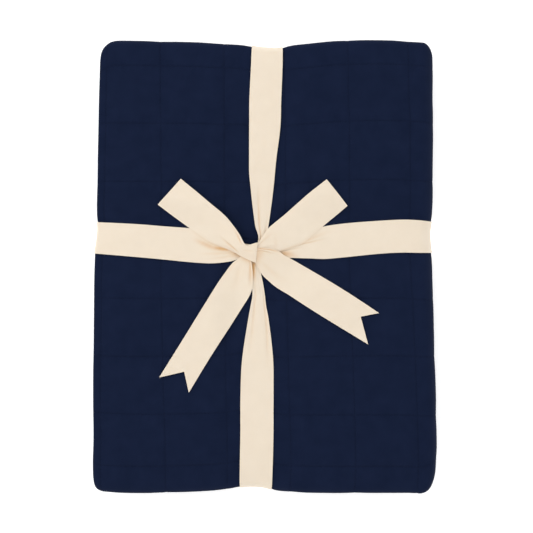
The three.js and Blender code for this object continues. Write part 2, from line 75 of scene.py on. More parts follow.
# Along it: four runs back and forth, with a turn between each two
TURN_X = HALF_WIDTH - (PASS_PITCH + DOUBLE) / 2
TURN = math.pi * PASS_PITCH / 2
END_RUN = TURN_X + HALF_WIDTH
MID_RUN = 2 * TURN_X
U_TURN_RIGHT = END_RUN
U_RUN_1 = U_TURN_RIGHT + TURN
U_TURN_LEFT = U_RUN_1 + MID_RUN
U_RUN_2 = U_TURN_LEFT + TURN
U_TURN_LOW = U_RUN_2 + MID_RUN
U_RUN_3 = U_TURN_LOW + TURN
CUT_LENGTH = U_RUN_3 + END_RUN

# Quilting: straight seams both ways, drawn into the outer face
SEAM_PITCH_X = 70.2
SEAM_FIRST_X = -184
SEAM_PITCH_Y = 65.6
SEAM_FIRST_Y = -230.8
SEAM_DEPTH = 1.6
SEAM_GROOVE = 1.1
SEAM_SHOULDER = 24
SEAM_SHOULDER_POWER = 1.5
SEAM_GROOVE_SHARE = 0.36
# How wide the painted shade along each seam is
SEAM_SHADE_WIDTH = 1.6
BEND_EASE = 0.65
HEM_SEAM = SEAM_FIRST_X + HALF_WIDTH
SEAMS_BEFORE = 4
SEAMS_AFTER = 11

# Puckers beside the seams: their size, how they shift from seam to seam and drift along a seam
PUCKER = 0.26
PUCKER_PITCH = 10.5
PUCKER_REACH = 3.4
PUCKER_SHIFT = 2.4
PUCKER_DRIFT = 1.6
PUCKER_DRIFT_WAVE = 23

# How much the squares differ in fullness, and how that changes with their column and row
LOFT = 0.35
LOFT_BY_COLUMN = 2.1
LOFT_BY_ROW = 3.7

# Cells of the cloth's grid, and the cuts that make its outer face finer
CELL_TOP = 12.5
CELL_HIDDEN = 36
CELL_UNDER = CELL_HIDDEN / 2
CELL_TURN = 2.9
CELL_BEND = CELL_TURN / 1.5
CELL_HEM = 0.8
SEAM_CELL = 4
TOP_CUTS = 4
BEND_CUTS = 1

# Thread of the quilting
STITCH_PITCH = 3.5
STITCH_LENGTH = 2.7
STITCH_WIDTH = 0.6
STITCH_HEIGHT = 0.4
STITCH_FROM_HEM = 2
STITCH_OVER = 14

# Ribbon
RIBBON = 0.45
BAND_LIFT = 0.75
BAND_UNDER = 0.75
BAND_END_GAP = 0.6
FULL_HALF = 18
SIDE_HALF = 17.6
NOTCH = 18.5
NOTCH_FROM = 0.6
HEM_CORNER = 2

# How far the tied ribbon presses the bundle, and how far the dent runs out beside it
PRESS_SHARE = 0.1
PRESS_FLOOR = 19
PRESS_RUN = 36
UNDER_RECESS = 2.2

# How much of its height the bundle loses at each side, and how far in that starts
SLUMP_REACH = 38
SLUMP_LEFT = 0.05
SLUMP_RIGHT = 0.06
SLUMP_FRONT = 0.12
SLUMP_BACK = 0.06

# Unevenness of the loose cloth: how its runs sway near the sides, and how its height billows
SWAY_REACH = 45
SWAY_X = 0.9
SWAY_X_WAVE = 41
SWAY_X_TURN = 1.9
SWAY_Y = 1.1
SWAY_Y_WAVE = 36
SWAY_Y_TURN = 2.3
SWAY_BY_RUN = 1.1
BILLOW = 0.011
BILLOW_WAVE_X = 47
BILLOW_WAVE_Y = 39
BILLOW_START_X = 0.6
BILLOW_START_Y = 1.2
BILLOW_SLANT = 0.5
BILLOW_SLANT_X = 23
BILLOW_SLANT_Y = 29

# The bundle's outline in plan: how far each side lies from the middle
LEFT_SIDE = (
    # y, out
    (-254, 192.2), (-222, 192.3), (-190, 191.6), (-160, 192), (-120, 192), (-85, 191.4), (-40, 191),
    (14, 190.4), (28, 188.3), (42, 187), (60, 188.2), (90, 187.2), (122, 186.8), (240, 184.4), (254, 184),
)
RIGHT_SIDE = (
    # y, out
    (-254, 192.4), (-215, 194), (-148, 193.4), (-107, 192.4), (-40, 190.6), (-14, 189.2), (10, 188.9),
    (28, 186.9), (42, 186.4), (62, 189.2), (122, 190), (164, 190.7), (190, 189.7), (230, 189.8), (254, 189),
)
FRONT_SIDE = (
    # x, out
    (-192.5, 252.8), (-149, 254.6), (-93, 253.9), (-59, 252.2), (-40, 250.6), (-26, 247.8), (-12, 247.2),
    (-2, 248), (6, 249.9), (10, 251.5), (17, 253), (27, 253.8), (87, 254.7), (160, 254.8), (175, 255.6),
    (192.5, 255.6),
)
BACK_SIDE = (
    # x, out
    (-192.5, 254), (-160, 254), (-82, 252.3), (-60, 251), (-30, 249.9), (-16, 247.8), (-6, 246.5),
    (8, 245.8), (15, 246), (20, 247.2), (27, 249), (42, 250), (87, 254), (143, 254.4), (192.5, 251.6),
)
CORNER_FRONT_LEFT = 11.5
CORNER_FRONT_RIGHT = 22
CORNER_BACK_LEFT = 19
CORNER_BACK_RIGHT = 11
CORNER_REACH = 4

# How far each run of the folded cloth lies in from that outline, from the top run down
INSET_LEFT = (0, 3, 3, 1.5)
INSET_RIGHT = (0, 0, 2.5, 2.5)
INSET_FRONT = (0, 3, 1.5, 2.5)
INSET_BACK = (0, 2, 3.5, 1.5)

# How far the top's seams lie out of square: along X at the back and at the front end, and
# along Y at the left and at the right side
SKEW_X = (
    # x, back, front
    (-192.5, 0, 0), (-184, 0, 0), (-113.8, -9, 2.9), (-43.6, -5.6, 1.6), (26.6, -6.7, 2.5),
    (96.8, -3.4, 4.5), (167, -4.2, 4.4), (178.7, -1, 1.8), (192.5, 0, 0),
)
SKEW_Y = (
    # y, left, right
    (-254, 0, 0), (-230.8, 8, 8), (-165.2, 1, -0.4), (-99.6, -0.7, 0.4), (-34, -1.1, -1.1),
    (31.6, -1.2, 0.4), (97.2, -1.9, 0.4), (162.8, -2.3, 0.8), (228.4, -3.2, -2), (254, 0, 0),
)

# Centre line and half width of the two bands where they cross the top
BAND_LONG = (
    # y, x, half
    (-254, -10, 18.2), (-192, -9.7, 18.5), (-136, -8.8, 18.4), (-103, -7.8, 17.2), (-58, -6.7, 11.3),
    (-43, -6.6, 8.5), (-31, -6.2, 7), (-19, -7.5, 6.8), (-12, -8.6, 6.6), (-1, -10, 6.3), (7, -8.9, 7.4),
    (17, -5.6, 5.2), (34, -1.9, 4.5), (47, -3.1, 7.5), (101, -4.4, 14.1), (128, -3.7, 15.7),
    (162, -2.1, 17.8), (195, -1.2, 18.3), (254, 0.7, 18),
)
BAND_CROSS = (
    # x, y, half
    (-192.5, 31.9, 17.6), (-150, 30, 18.3), (-122, 28, 18.5), (-66, 23.3, 18.7), (-38, 21, 15),
    (-25, 18, 9), (-16, 17.4, 8), (-5, 17.8, 7.5), (8, 19.4, 9.5), (29, 24.4, 12.2), (50, 26.6, 15.4),
    (74, 28.3, 18.6), (141, 33.7, 18.4), (170, 35.3, 18.4), (192.5, 35.3, 17.8),
)

# Where the cross band rides over the long one, on the top at the knot and underneath, and how the
# long band rises towards the knot
CROSSING_X = -5
CROSSING_Y = 16
CROSSING_REACH = 6
CROSSING_RAMP = 15
CROSSING_RISE = 4
UNDER_CROSSING_REACH = 26
UNDER_CROSSING_RISE = 1.3
LONG_RISE = 2.4
LONG_RISE_REACH = 10
LONG_RISE_RAMP = 44

# The bow, from the knot outwards. A row is a line across the ribbon: how far out it is, its two
# edges in plan with their heights above the bundle's top, and a loop's lower sheet's height. The
# left loop's upper sheet runs on over the crossing, as the turn of the knot.
LOOP_LEFT = (
    # at, back x, y, lift, front x, y, lift, under
    (-20, -7, 28.4, 11.4, -8.8, 4.8, 7.4, 4.6), (-14, -10, 27.4, 11.8, -12.4, 5.8, 7.6, 4.6),
    (-6, -16, 25, 11.3, -20.5, 8.8, 6.2, 4.6), (0, -19.6, 24.2, 11, -27, 11.8, 4.6, 3.9),
    (6, -22.6, 26.4, 11.2, -32, 15.2, 2.9, 2.5), (18.3, -29, 37, 11.6, -43, 20.5, 2, 1.6),
    (39.4, -44, 56.5, 10.6, -63, 28.5, 1.85, 1.3), (64.2, -63, 72.5, 6.4, -85.5, 43.5, 1.8, 1.28),
    (105.9, -96.4, 98.8, 2.2, -121.9, 69.8, 2.1, 1.3),
)
LOOP_RIGHT = (
    # at, back x, y, lift, front x, y, lift, under
    (0, -7.6, 26, 7.6, -9, 17, 7.3, 6.1), (7.8, -3.4, 33, 6.8, 1.5, 19, 6.7, 5.85),
    (22.6, 4.4, 45.6, 4.2, 19.5, 21, 3.05, 2.75), (35.6, 14, 55.6, 3.6, 33.7, 24.2, 1.95, 1.45),
    (50, 25.8, 64.4, 3.1, 47.1, 29.4, 1.85, 1.3), (82.3, 48.6, 83.8, 2.6, 72.2, 50.2, 1.9, 1.28),
    (108.7, 69, 98.4, 2.2, 93.5, 67.8, 2.1, 1.3),
)
TAIL_LEFT = (
    # at, left x, y, lift, right x, y, lift
    (2, -25, 13, 3.9, -15, 9.4, 6.2), (6.5, -27, 10, 3.7, -13.7, 3.5, 6),
    (17.3, -35.3, 4.2, 2.6, -12.4, -10.5, 4.2), (31.2, -43.8, -6.3, 1.9, -13.7, -26.5, 2.6),
    (51, -55.5, -23, 1.6, -22.5, -43.5, 1.9), (110, -87.3, -73.5, 1.4, -55, -92, 1.4),
    (167.8, -118, -123, 1.4, -85, -140.5, 1.4),
)
TAIL_RIGHT = (
    # at, back x, y, lift, front x, y, lift
    (0, -11, 21, 9.4, -13.3, 8.5, 6.4), (7, -2, 23, 9.3, -9, 4, 6.2),
    (20.9, 14.5, 22.5, 5.8, -1.6, -8.3, 4.2), (32.3, 24.6, 15, 3.5, 7.2, -15.4, 3),
    (49.8, 39.9, 6, 2, 20.8, -24.6, 2.1), (104.7, 85.5, -22.5, 1.5, 68, -56.5, 1.6),
    (159.2, 129, -51.5, 1.4, 116, -86.5, 1.4),
)
NOTCH_LEFT = -0.1
NOTCH_RIGHT = 0.2
KNOT_END = 3
KNOT_GAP = 0.1

# Creases of the ribbon, by distance from the knot: where a crease starts and ends, its place across
# the ribbon there as a share of the half width, its own half width as a share, its height, and how
# much warm painted shade it gets: painted shade of the fold, and where the height is 0, painted
# shadow beneath ribbon laid over it. One that starts away from the knot fades in over a share of its
# length, and all fade out from a share of it on.
CREASE_FADE_IN = 0.25
CREASE_FADE_OUT = 0.4
CREASES_LONG_BACK = (
    # start, end, place, end place, width, height, painted shade
    (0, 85, -0.4, -0.3, 0.13, -1.1, 0.4), (0, 60, 0.3, 0.15, 0.2, 0.5, 0),
    (0, 55, 0.75, 0.7, 0.14, -0.6, 0.15),
)
CREASES_LONG_FRONT = (
    # start, end, place, end place, width, height, painted shade
    (25, 125, -0.5, -0.55, 0.15, -0.7, 0.2), (35, 135, 0.82, 0.6, 0.12, -0.8, 0.25),
    (0, 70, 0, 0.1, 0.22, 0.5, 0), (6, 36, -0.2, -0.55, 0.38, -0.5, 1),
)
CREASES_CROSS_LEFT = (
    # start, end, place, end place, width, height, painted shade
    (8, 75, -0.3, -0.45, 0.09, -0.6, 0.25), (8, 65, -0.55, -0.72, 0.08, -0.5, 0.2),
    (10, 44, -1.05, 0.1, 0.25, 0, 0.6), (30, 62, -0.15, 0.05, 0.13, 0, 0.9),
    (30, 84, -0.2, 0.95, 0.16, 0, 0.3), (46, 80, -0.12, 0.45, 0.14, -0.3, 0.52),
)
CREASES_CROSS_RIGHT = (
    # start, end, place, end place, width, height, painted shade
    (28, 80, 0.02, 0.24, 0.05, -0.5, 0.45), (52, 88, 0.22, 0.36, 0.05, 0.35, 0),
    (12, 62, -0.5, 0, 0.08, -0.5, 0.2), (12, 48, -0.1, -1, 0.3, 0, 0.7),
    (14, 90, -0.15, 0.75, 0.12, 0, 0.3),
)
CREASES_LOOP_LEFT = (
    # start, end, place, end place, width, height, painted shade
    (20, 56, -0.6, -0.22, 0.09, -1.1, 0.45), (25, 48, 0.6, 0.92, 0.09, -1, 0.45),
    (22, 50, -0.55, -0.7, 0.1, 0.6, 0), (4, 30, 0.1, 0.2, 0.12, -0.4, 0.15),
    (8, 90, -1, -1, 0.08, 0, 0.28),
)
CREASES_LOOP_RIGHT = (
    # start, end, place, end place, width, height, painted shade
    (16, 30, -1, 0.7, 0.28, -0.35, 0.1), (0, 30, 0.5, 0.55, 0.14, -0.4, 0.2),
    (0, 26, -0.2, -0.3, 0.2, 0.5, 0), (0, 24, -0.8, -0.85, 0.1, -0.4, 0.45),
    (6, 80, -1, -1, 0.08, 0, 0.28),
)
CREASES_TAIL_LEFT = (
    # start, end, place, end place, width, height, painted shade
    (8, 48, 0.4, -0.1, 0.22, -0.5, 0.1), (0, 30, -0.7, -0.8, 0.16, -0.7, 0.45),
    (4, 36, 0.8, 0.8, 0.14, -0.4, 0.1), (0, 8, 0, 0, 1.5, 0, 0.5),
)
CREASES_TAIL_RIGHT = (
    # start, end, place, end place, width, height, painted shade
    (0, 30, 0.8, 0.97, 0.06, -0.7, 0.6), (0, 26, 0.66, 0.88, 0.06, 0.4, 0),
    (0, 24, 0.5, 0.76, 0.06, -0.6, 0.4), (4, 55, -0.4, -0.35, 0.2, -0.4, 0.1),
    (0, 14, 0, 0, 1.5, 0, 0.4),
)
CROWN = 1.6
CROWN_REACH = 60

# A loop's lower sheet is tucked in by a share of its half width, and the upper one droops over it
TUCK = 0.22
TUCK_END = 30
DROOP = 0.5
DROOP_START = 12

# How much warm painted shade the ribbon gets towards the knot, where its stretches crowd and shade each
# other
KNOT_PAINTED_SHADE = 0.05
KNOT_PAINTED_SHADE_REACH = 40

# Steps along a band: across the top, underneath, down a side and round a corner
TOP_STEP = 4
UNDER_STEP = 8
SIDE_STEPS = 6
CORNER_STEPS = 8
SAME_PLACE = 0.05

# Knit of the blanket and weave of the ribbon: pitches, slant of the stitches, and relief
KNIT_COLUMN = 1.3
KNIT_ROW = 0.9
KNIT_SLANT = 0.4
KNIT_RELIEF = 0.16
WEFT_PITCH = 0.55
WARP_PITCH = 0.5
WEAVE_RELIEF = 0.09

# Tones, and how far light passes into the ribbon
NAVY_TONES = ((0.0054, 0.0104, 0.0315), (0.0070, 0.0127, 0.0371))
# The thread's tone is a little darker than the cloth's: partly its own, partly painted shade of its groove
THREAD_TONES = ((0.0052, 0.0094, 0.0295), (0.0072, 0.0121, 0.0364))
CREAM_TONES = ((0.840, 0.722, 0.587), (0.862, 0.742, 0.607))
# Painted shade along the quilting seams: the share of grey multiplied into the jersey beside each seam
PAINTED_SEAM_SHADE = (0.55, 0.55, 0.55, 1)
PAINTED_SEAM_SHADE_SHARE = 0.08
# Painted shade of the ribbon: a warm tan multiplied in along its folds, beneath ribbon laid over it and near
# the knot
PAINTED_RIBBON_SHADE = (0.8, 0.54, 0.28, 1)
LIGHT_REACH = 0.8
FLOOR_TONE = (0.93, 0.93, 0.93, 1)
WHITE = (1, 1, 1, 1)

# Camera and light
CAMERA_HEIGHT = 2000
CAMERA_X = 2.25
CAMERA_Y = 0.3
CAMERA_LENS = 117.5
SENSOR = 36
KEY_PLACE = (-1300, 900, 1800)
KEY_SIZE = 2000
KEY_POWER = 17
SKY_STRENGTH = 0.9
FLOOR_SIZE = 9000


def smooth_step(value, start, end):
    t = np.clip((value - start) / (end - start), 0, 1)
    return t * t * (3 - 2 * t)


def along(rows, at, column):
    """A column of a table at places along its first column, on a smooth curve through the rows."""
    table = np.array(rows, float)
    key, value = table[:, 0], table[:, column]
    last = len(key) - 1
    i = np.clip(np.searchsorted(key, at) - 1, 0, last - 1)
    before = np.maximum(i - 1, 0)
    after = np.minimum(i + 2, last)
    span = key[i + 1] - key[i]
    t = np.clip((at - key[i]) / span, 0, 1)
    rest = 1 - t
    slope_start = span * (value[i + 1] - value[before]) / (key[i + 1] - key[before])
    slope_end = span * (value[after] - value[i]) / (key[after] - key[i])
    start = value[i] * (1 + 2 * t) * rest**2 + slope_start * t * rest**2
    end = value[i + 1] * (3 - 2 * t) * t**2 - slope_end * t**2 * rest
    return start + end


def straight(rows, at, column):
    """A column of a table at places along its first column, on straight lines between the rows."""
    table = np.array(rows, float)
    return np.interp(at, table[:, 0], table[:, column])


# The soft, tied bundle

def pressed(x, y):
    """How fully each band presses at a place: 1 under it, falling to 0 where the dent runs out."""
    from_long = np.abs(x - along(BAND_LONG, y, 1))
    from_cross = np.abs(y - along(BAND_CROSS, x, 1))
    long = 1 - smooth_step(from_long, PRESS_FLOOR, PRESS_FLOOR + PRESS_RUN)
    cross = 1 - smooth_step(from_cross, PRESS_FLOOR, PRESS_FLOOR + PRESS_RUN)
    return long, cross


def slumped(distance):
    share = 1 - np.clip(distance / SLUMP_REACH, 0, 1)
    return share**2


def corner_draw(x, y):
    """How far a corner's rounding draws a point in along Y."""
    front = np.where(x < 0, CORNER_FRONT_LEFT, CORNER_FRONT_RIGHT)
    back = np.where(x < 0, CORNER_BACK_LEFT, CORNER_BACK_RIGHT)
    radius = np.where(y < 0, front, back).astype(float)
    from_side = np.clip(HALF_WIDTH - np.abs(x), 0, radius)
    draw = radius - np.sqrt(radius**2 - (radius - from_side) ** 2)
    return draw * smooth_step(np.abs(y), HALF_LENGTH - CORNER_REACH * radius, HALF_LENGTH) * np.sign(y)


def settle(x, y, z, taut=False):
    """Moves points of the square, even stack to where the soft, tied bundle lies. The taut ribbon
    keeps to the outline at every height, and the cloth wanders a little from run to run."""
    long, cross = pressed(x, y)
    press = 1 - (1 - long) * (1 - cross)
    slump = np.maximum.reduce([
        SLUMP_LEFT * slumped(x + HALF_WIDTH),
        SLUMP_RIGHT * slumped(HALF_WIDTH - x),
        SLUMP_FRONT * slumped(y + HALF_LENGTH),
        SLUMP_BACK * slumped(HALF_LENGTH - y),
    ])
    height = z * (1 - PRESS_SHARE * press - slump)
    across = (x + HALF_WIDTH) / BUNDLE_WIDTH
    lengthwise = (y + HALF_LENGTH) / BUNDLE_LENGTH
    skew_x = straight(SKEW_X, x, 2) + (straight(SKEW_X, x, 1) - straight(SKEW_X, x, 2)) * lengthwise
    skew_y = straight(SKEW_Y, y, 1) + (straight(SKEW_Y, y, 2) - straight(SKEW_Y, y, 1)) * across
    top = 0 if taut else smooth_step(z, HEIGHT - PASS_PITCH, HEIGHT - DOUBLE / 2)
    left = -along(LEFT_SIDE, y + skew_y * top, 1)
    right = along(RIGHT_SIDE, y + skew_y * top, 1)
    front = -along(FRONT_SIDE, x + skew_x * top, 1)
    back = along(BACK_SIDE, x + skew_x * top, 1)
    if taut:
        out_x = left + (right - left) * across
        out_y = front + (back - front) * lengthwise - corner_draw(x, y)
        return np.stack([out_x, out_y, height], 1)
    level = np.clip((HEIGHT - DOUBLE / 2 - z) / PASS_PITCH, 0, PASSES - 1)
    runs = range(PASSES)
    left = left + np.interp(level, runs, INSET_LEFT)
    right = right - np.interp(level, runs, INSET_RIGHT)
    front = front + np.interp(level, runs, INSET_FRONT)
    back = back - np.interp(level, runs, INSET_BACK)
    loose = 1 - press
    edge_x = smooth_step(np.abs(x), HALF_WIDTH - SWAY_REACH, HALF_WIDTH) * loose
    edge_y = smooth_step(np.abs(y), HALF_LENGTH - SWAY_REACH, HALF_LENGTH) * loose
    by_run = np.sin(SWAY_BY_RUN * level)
    sway_x = SWAY_X * edge_x * np.sin(y / SWAY_X_WAVE + SWAY_X_TURN * level) * by_run
    sway_y = SWAY_Y * edge_y * np.sin(x / SWAY_Y_WAVE + SWAY_Y_TURN * level) * by_run
    swell = np.sin(x / BILLOW_WAVE_X + BILLOW_START_X) * np.sin(y / BILLOW_WAVE_Y + BILLOW_START_Y)
    slant = BILLOW_SLANT * np.sin(x / BILLOW_SLANT_X - y / BILLOW_SLANT_Y)
    billow = BILLOW * loose * (swell + slant)
    recess = UNDER_RECESS * (long + cross) * np.clip(1 - z / DOUBLE, 0, 1)
    out_x = left + (right - left) * across + skew_x * top + sway_x
    out_y = front + (back - front) * lengthwise - corner_draw(x, y) + skew_y * top + sway_y
    return np.stack([out_x, out_y, height * (1 + billow) + recess], 1)


# The folded cloth

SEAM_LAST_U = CUT_LENGTH - HEM_SEAM
SEAMS_U = np.append(np.arange(HEM_SEAM, CUT_LENGTH - SEAM_PITCH_X / 2, SEAM_PITCH_X), SEAM_LAST_U)
SEAM_FIRST_V = V_LEAF + BEND_Y + SEAM_FIRST_Y
SEAMS_V = SEAM_FIRST_V + SEAM_PITCH_Y * np.arange(-SEAMS_BEFORE, SEAMS_AFTER)


def nearest(seams, at):
    """Distance to the nearest seam, and that seam's number."""
    apart = np.abs(at[:, None] - seams[None, :])
    number = apart.argmin(1)
    return apart[np.arange(len(at)), number], number


def seam_share(distance):
    """How much of its depth a seam has at a distance: a narrow groove between soft shoulders."""
    groove = SEAM_GROOVE_SHARE * np.exp(-((distance / SEAM_GROOVE) ** 2))
    shoulder = (1 - SEAM_GROOVE_SHARE) * (1 - smooth_step(distance, 0, SEAM_SHOULDER)) ** SEAM_SHOULDER_POWER
    return groove + shoulder


def pucker(distance, number, at):
    """Small ridges that the stitches pull up square to a seam."""
    drift = PUCKER_DRIFT * np.sin(at / PUCKER_DRIFT_WAVE + number)
    ridge = np.sin(2 * math.pi * at / PUCKER_PITCH + PUCKER_SHIFT * number + drift)
    return PUCKER * ridge * (distance / PUCKER_REACH) * np.exp(1 - distance / PUCKER_REACH)


def quilt_draw(u, v):
    """How far the seams draw the cloth's outer face in at a place, between squares of uneven fullness."""
    from_u, number_u = nearest(SEAMS_U, u)
    from_v, number_v = nearest(SEAMS_V, v)
    share = 1 - (1 - seam_share(from_u)) * (1 - seam_share(from_v))
    column = np.floor((u - HEM_SEAM) / SEAM_PITCH_X)
    row = np.floor((v - SEAM_FIRST_V) / SEAM_PITCH_Y)
    fullness = LOFT * np.sin(LOFT_BY_COLUMN * column + LOFT_BY_ROW * row)
    puckers = pucker(from_u, number_u, v) + pucker(from_v, number_v, u)
    return SEAM_DEPTH * share + puckers - fullness * (1 - share) + LOFT


def section(v, n):
    """The doubled cloth's section: Y, and the distance from the middle of the two leaves."""
    reach = BEND_RADIUS + n
    front_turn = np.clip((v - V_FRONT_BEND) / BEND_RADIUS, 0, math.pi)
    back_turn = np.clip((v - V_BACK_BEND) / BEND_RADIUS, 0, math.pi)
    y = np.select(
        [v < V_FRONT_BEND, v < V_LEAF, v < V_BACK_BEND, v < V_BACK_EDGE],
        [
            V_FRONT_BEND - v - BEND_Y,
            -BEND_Y - reach * np.sin(front_turn),
            v - V_LEAF - BEND_Y,
            BEND_Y + reach * np.sin(back_turn),
        ],
        BEND_Y - (v - V_BACK_EDGE),
    )
    side = np.where(v < V_LEAF, -np.cos(front_turn), np.cos(back_turn))
    return y, reach * side


def run(u):
    """The way of the doubled cloth back and forth: its middle and the direction of its outside."""
    def turn(start, side):
        angle = side * (math.pi / 2 - np.clip((u - start) / (PASS_PITCH / 2), 0, math.pi))
        return np.cos(angle), np.sin(angle)

    level = [HEIGHT - DOUBLE / 2 - i * PASS_PITCH for i in range(PASSES)]
    right, left, low = turn(U_TURN_RIGHT, 1), turn(U_TURN_LEFT, -1), turn(U_TURN_LOW, 1)
    half = PASS_PITCH / 2
    flat = np.zeros_like(u)
    stretch = [u < end for end in (U_TURN_RIGHT, U_RUN_1, U_TURN_LEFT, U_RUN_2, U_TURN_LOW, U_RUN_3)]
    x = np.select(
        stretch,
        [
            u - HALF_WIDTH,
            TURN_X + half * right[0],
            TURN_X - (u - U_RUN_1),
            -TURN_X - half * left[0],
            u - U_RUN_2 - TURN_X,
            TURN_X + half * low[0],
        ],
        TURN_X - (u - U_RUN_3),
    )
    z = np.select(
        stretch,
        [
            flat + level[0],
            level[0] - half + half * right[1],
            flat + level[1],
            level[1] - half - half * left[1],
            flat + level[2],
            level[2] - half + half * low[1],
        ],
        level[3],
    )
    nx = np.select(stretch, [flat, right[0], flat, left[0], flat, low[0]], 0)
    nz = np.select(stretch, [flat + 1, right[1], flat - 1, left[1], flat + 1, low[1]], -1)
    return x, z, nx, nz


def fold(u, v, n):
    """Where points of the flat cloth lie in the bundle: along it, across it, and out of its leaf."""
    from_edge = np.minimum.reduce([u, CUT_LENGTH - u, v, CUT_WIDTH - v])
    rounding = np.sqrt(1 - (1 - np.clip(from_edge / HEM_ROUND, HEM_TIP, 1)) ** 2)
    outside = np.clip(n / (LEAF / 2), 0, 1)
    x, z, nx, nz = run(u)
    front_bend = np.sin(np.clip((v - V_FRONT_BEND) / BEND_RADIUS, 0, math.pi))
    back_bend = np.sin(np.clip((v - V_BACK_BEND) / BEND_RADIUS, 0, math.pi))
    ease = 1 - BEND_EASE * np.maximum.reduce([front_bend, back_bend, np.abs(nx)])
    y, middle = section(v, (n - quilt_draw(u, v) * outside * ease) * rounding)
    return settle(x + middle * nx, y, z + middle * nz)


# Modelling

def deselect_all():
    bpy.ops.object.select_all(action="DESELECT")


def flat_grid(name, u_lines, v_lines):
    """A flat grid whose lines lie at these places, as the active object. Returns its points too."""
    deselect_all()
    columns, rows = len(u_lines), len(v_lines)
    bpy.ops.mesh.primitive_grid_add(x_subdivisions=columns - 1, y_subdivisions=rows - 1, size=1)
    sheet = bpy.context.object
    sheet.name = name
    sheet.data.name = name
    spots = points_of(sheet)
    column = np.rint((spots[:, 0] + 0.5) * (columns - 1)).astype(int)
    row = np.rint((spots[:, 1] + 0.5) * (rows - 1)).astype(int)
    return sheet, np.asarray(u_lines, float)[column], np.asarray(v_lines, float)[row]


def points_of(piece):
    points = np.empty(len(piece.data.vertices) * 3)
    piece.data.vertices.foreach_get("co", points)
    return points.reshape(-1, 3)


def move_points(piece, points):
    piece.data.vertices.foreach_set("co", np.ascontiguousarray(points, float).ravel())
    piece.data.update()


def apply_modifier(piece, kind, **settings):
    bpy.context.view_layer.objects.active = piece
    modifier = piece.modifiers.new(kind.lower(), kind)
    for key, value in settings.items():
        setattr(modifier, key, value)
    bpy.ops.object.modifier_apply(modifier=modifier.name)


def lay_uv(piece, places):
    """A UV map in metres of cloth from a place for each point."""
    mesh = piece.data
    layer = mesh.uv_layers.get("cloth") or mesh.uv_layers.new(name="cloth")
    corners = np.empty(len(mesh.loops), int)
    mesh.loops.foreach_get("vertex_index", corners)
    layer.data.foreach_set("uv", (places[corners] * MM).ravel())


def mark_points(piece, name, values):
    piece.data.attributes.new(name, "FLOAT", "POINT").data.foreach_set("value", values)


def point_outwards(piece):
    deselect_all()
    piece.select_set(True)
    bpy.context.view_layer.objects.active = piece
    bpy.ops.object.mode_set(mode="EDIT")
    bpy.ops.mesh.select_all(action="SELECT")
    bpy.ops.mesh.normals_make_consistent(inside=False)
    bpy.ops.object.mode_set(mode="OBJECT")
    bpy.ops.object.shade_smooth()


def subdivide_faces(piece, chosen, cuts):
    mesh = piece.data
    mesh.vertices.foreach_set("select", np.zeros(len(mesh.vertices), bool))
    mesh.edges.foreach_set("select", np.zeros(len(mesh.edges), bool))
    mesh.polygons.foreach_set("select", chosen)
    bpy.ops.object.mode_set(mode="EDIT")
    bpy.ops.mesh.select_mode(type="FACE")
    bpy.ops.mesh.subdivide(number_cuts=cuts, ngon=False)
    bpy.ops.object.mode_set(mode="OBJECT")


def face_centres(piece):
    centres = np.empty(len(piece.data.polygons) * 3)
    piece.data.polygons.foreach_get("center", centres)
    return centres.reshape(-1, 3) / MM


def give_finish(piece, material, node):
    piece.data.materials.clear()
    piece.data.materials.append(material)
    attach(piece, BODY)
    if node:
        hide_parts(node)


# The blanket

def cloth_lines(zones, seams):
    """Lines of the cloth's grid: close beside each seam, and no further apart than each zone's cell."""
    beside = [seam + side for seam in seams for side in (-SEAM_CELL, 0, SEAM_CELL)]
    places = []
    for start, end, cell in zones:
        stops = sorted([start, end] + [place for place in beside if start < place < end])
        for low, high in zip(stops, stops[1:]):
            cells = max(1, math.ceil((high - low) / cell))
            places.extend(low + (high - low) * i / cells for i in range(cells))
    places.append(zones[-1][1])
    return np.array(places)


def seam_shade_share(seams, at):
    """How much painted shade the nearest seam gives the cloth at a place."""
    return np.exp(-((nearest(seams, at)[0] / SEAM_SHADE_WIDTH) ** 2))


